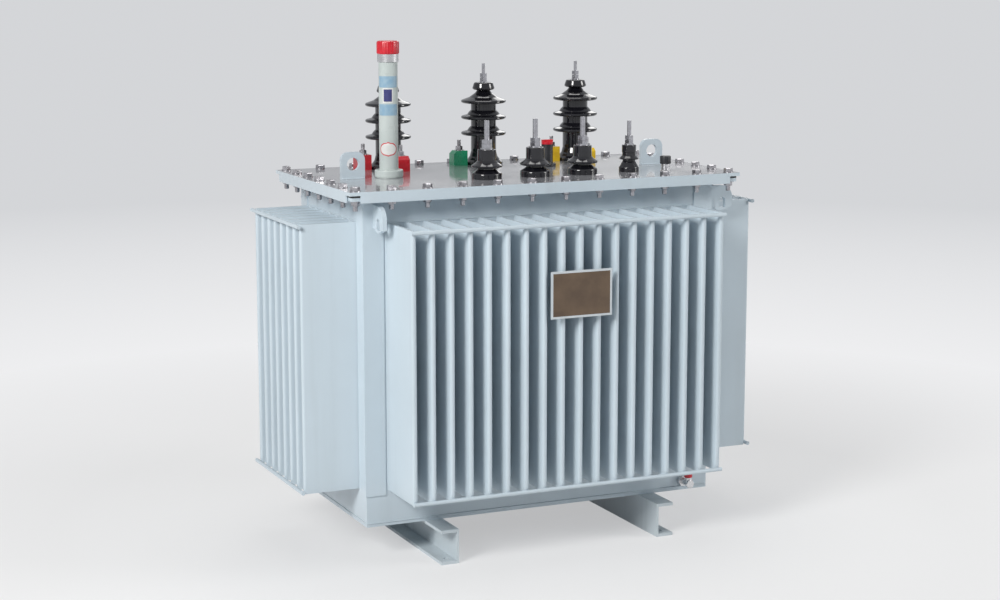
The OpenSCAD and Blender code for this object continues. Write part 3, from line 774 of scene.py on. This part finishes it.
for name, grow, thickness, material in (("gaugeOvalRim", 1.0, 0.0004, redGloss),
                                        ("gaugeOval", 0.84, 0.0007, labelWhite)):
    middleZ = (gauge["ovalLow"] + gauge["ovalHigh"]) / 2
    halfZ = (gauge["ovalHigh"] - gauge["ovalLow"]) / 2 * grow
    wide = gauge["ovalHalf"] / tubeRadius * (grow if grow == 1 else grow + 0.05)
    made = shellPatch(name, tubeFoot, tubeRadius - 0.0001, thickness, facing, wide,
                      middleZ - halfZ, middleZ + halfZ, True, 20)
    finishPiece(made, "tank", material)


def ribbedCap(name, node, count, depth, material, body="tank"):
    low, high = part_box(node)
    centre = Vector(((low.x + high.x) / 2, (low.y + high.y) / 2, low.z))
    radius = (high.x - low.x) / 2
    tall = high.z - low.z
    bm = bmesh.new()
    steps = count * 4
    levels = [(0, 0), (0.02, 0.96), (0.06, 1), (0.86, 1), (0.95, 0.97), (1.0, 0.88)]
    rings = []
    for j, (v, share) in enumerate(levels):
        ring = []
        for i in range(steps):
            ribbed = 2 <= j <= 3
            groove = depth if (i % 4 in (0, 1)) and ribbed else 0.0 if ribbed else depth * 0.5
            r = radius * (share if j else 0.94) - groove
            a = 2 * math.pi * i / steps
            ring.append(bm.verts.new(centre + Vector((r * math.cos(a), r * math.sin(a), tall * v))))
        rings.append(ring)
    for a, b in zip(rings, rings[1:]):
        for i in range(steps):
            j = (i + 1) % steps
            bm.faces.new((a[i], a[j], b[j], b[i]))
    bm.faces.new(rings[0])
    bm.faces.new(rings[-1])
    made = meshObject(name, bm)
    smoothByAngle(made, 25)
    finishPiece(made, body, material)
    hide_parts(node)
    return made


ribbedCap("gaugeCapRibbed", "gauge_cap", 24, 0.0007, redGloss)
ribbedCap("fillerCapRibbed", "filler_cap", 18, 0.0005, blackPlastic)

print("fittings made")


# Floor, light and camera

floorBm = bmesh.new()
reach = 14
for corner in ((-reach, -reach), (reach, -reach), (reach, reach), (-reach, reach)):
    floorBm.verts.new((corner[0], corner[1], 0))
floorBm.faces.new(floorBm.verts)
floor = meshObject("floor", floorBm)
# For camera and glossy rays the floor shows an emission that is brighter near the object and fades to the
# backdrop grey further out: a painted pool of light. Close to the object half of it is the lit diffuse
# floor, which keeps the real shadow.
floorLook = {"near": (0.92, 0.92, 0.93, 1), "far": (0.66, 0.67, 0.69, 1), "lit": 0.5,
             "litFrom": 1.1, "litTo": 2.4, "fadeFrom": 1.0, "fadeTo": 6.5, "base": (0.78, 0.82)}
floorMaterial = bpy.data.materials.new("floorMaterial")
floorMaterial.use_nodes = True
floorTree = floorMaterial.node_tree
floorShader = floorTree.nodes["Principled BSDF"]
floorNoise = noiseNode(floorTree, 1.5)
floorShade = mapRange(floorTree, floorNoise.outputs["Fac"], 0.3, 0.7, *floorLook["base"])
floorMix = mixColour(floorTree, 1.0, (1, 1, 1, 1), floorShade, "MULTIPLY")
floorTree.links.new(floorMix, floorShader.inputs["Base Color"])
floorShader.inputs["Roughness"].default_value = 0.9
floorSpot = floorTree.nodes.new("ShaderNodeTexCoord").outputs["Object"]
floorAway = floorTree.nodes.new("ShaderNodeVectorMath")
floorAway.operation = "LENGTH"
floorTree.links.new(floorSpot, floorAway.inputs[0])
away = floorAway.outputs["Value"]
glow = floorTree.nodes.new("ShaderNodeEmission")
fade = mapRange(floorTree, away, floorLook["fadeFrom"], floorLook["fadeTo"], 0.0, 1.0)
floorTree.links.new(mixColour(floorTree, fade, floorLook["near"], floorLook["far"]), glow.inputs["Color"])
glowShare = mapRange(floorTree, away, floorLook["litFrom"], floorLook["litTo"], 1 - floorLook["lit"], 1.0)
floorPath = floorTree.nodes.new("ShaderNodeLightPath")
seenShare = mathNode(floorTree, "MAXIMUM", floorPath.outputs["Is Camera Ray"],
                     floorPath.outputs["Is Glossy Ray"])
floorBlend = floorTree.nodes.new("ShaderNodeMixShader")
floorTree.links.new(mathNode(floorTree, "MULTIPLY", glowShare, seenShare), floorBlend.inputs[0])
floorTree.links.new(floorShader.outputs[0], floorBlend.inputs[1])
floorTree.links.new(glow.outputs[0], floorBlend.inputs[2])
floorTree.links.new(floorBlend.outputs[0], floorTree.nodes["Material Output"].inputs["Surface"])
floor.data.materials.append(floorMaterial)

world = bpy.data.worlds.new("studio")
bpy.context.scene.world = world
world.use_nodes = True
sky = world.node_tree
skyLook = {"fill": 0.12, "fillColour": (0.80, 0.91, 1.0, 1), "seen": (0.66, 0.67, 0.69, 1),
           "mirrored": (0.46, 0.47, 0.49, 1)}
sky.nodes["Background"].inputs["Color"].default_value = skyLook["fillColour"]
sky.nodes["Background"].inputs["Strength"].default_value = skyLook["fill"]
path = sky.nodes.new("ShaderNodeLightPath")
eyes = mathNode(sky, "MAXIMUM", path.outputs["Is Camera Ray"], path.outputs["Is Transmission Ray"])
soFar = sky.nodes["Background"].outputs[0]
for ray, colour in ((path.outputs["Is Glossy Ray"], "mirrored"), (eyes, "seen")):
    layer = sky.nodes.new("ShaderNodeBackground")
    layer.inputs["Color"].default_value = skyLook[colour]
    blend = sky.nodes.new("ShaderNodeMixShader")
    sky.links.new(ray, blend.inputs[0])
    sky.links.new(soFar, blend.inputs[1])
    sky.links.new(layer.outputs[0], blend.inputs[2])
    soFar = blend.outputs[0]
sky.links.new(soFar, sky.nodes["World Output"].inputs["Surface"])

lamps = {
    "key": {"place": (-4.7, -2.9, 3.5), "size": 2.2, "power": 320},
    "side": {"place": (4.86, -2.6, 2.6), "size": 2.4, "power": 130},
    "top": {"place": (0.3, 0.8, 4.6), "size": 2.6, "power": 55},
    "back": {"place": (2.6, 4.4, 2.8), "size": 2.4, "power": 24}}
for name, lamp in lamps.items():
    data = bpy.data.lights.new(name, "AREA")
    data.shape = "DISK"
    data.size = lamp["size"]
    data.energy = lamp["power"]
    data.color = (1.0, 0.99, 0.97)
    made = bpy.data.objects.new(name, data)
    made.location = lamp["place"]
    aim = Vector((0, 0, 0.6)) - made.location
    made.rotation_euler = aim.to_track_quat("-Z", "Y").to_euler()
    bpy.context.scene.collection.objects.link(made)

view = {"place": (-2.0319, -4.4632, 1.3851), "yaw": 0.4241, "pitch": 0.1706, "roll": -0.0004, "lens": 74.55}
ahead = Vector((math.sin(view["yaw"]) * math.cos(view["pitch"]),
                math.cos(view["yaw"]) * math.cos(view["pitch"]), -math.sin(view["pitch"])))
flat = Vector((math.cos(view["yaw"]), -math.sin(view["yaw"]), 0))
rise = flat.cross(ahead)
turned = flat * math.cos(view["roll"]) + rise * math.sin(view["roll"])
lifted = rise * math.cos(view["roll"]) - flat * math.sin(view["roll"])
cameraData = bpy.data.cameras.new("camera")
cameraData.sensor_width = 36
cameraData.lens = view["lens"]
camera = bpy.data.objects.new("camera", cameraData)
bpy.context.scene.collection.objects.link(camera)
axes = Matrix((turned, lifted, -ahead)).transposed().to_4x4()
camera.matrix_world = Matrix.Translation(view["place"]) @ axes
bpy.context.scene.camera = camera
bpy.context.scene.view_settings.view_transform = "Standard"
print("stage made")
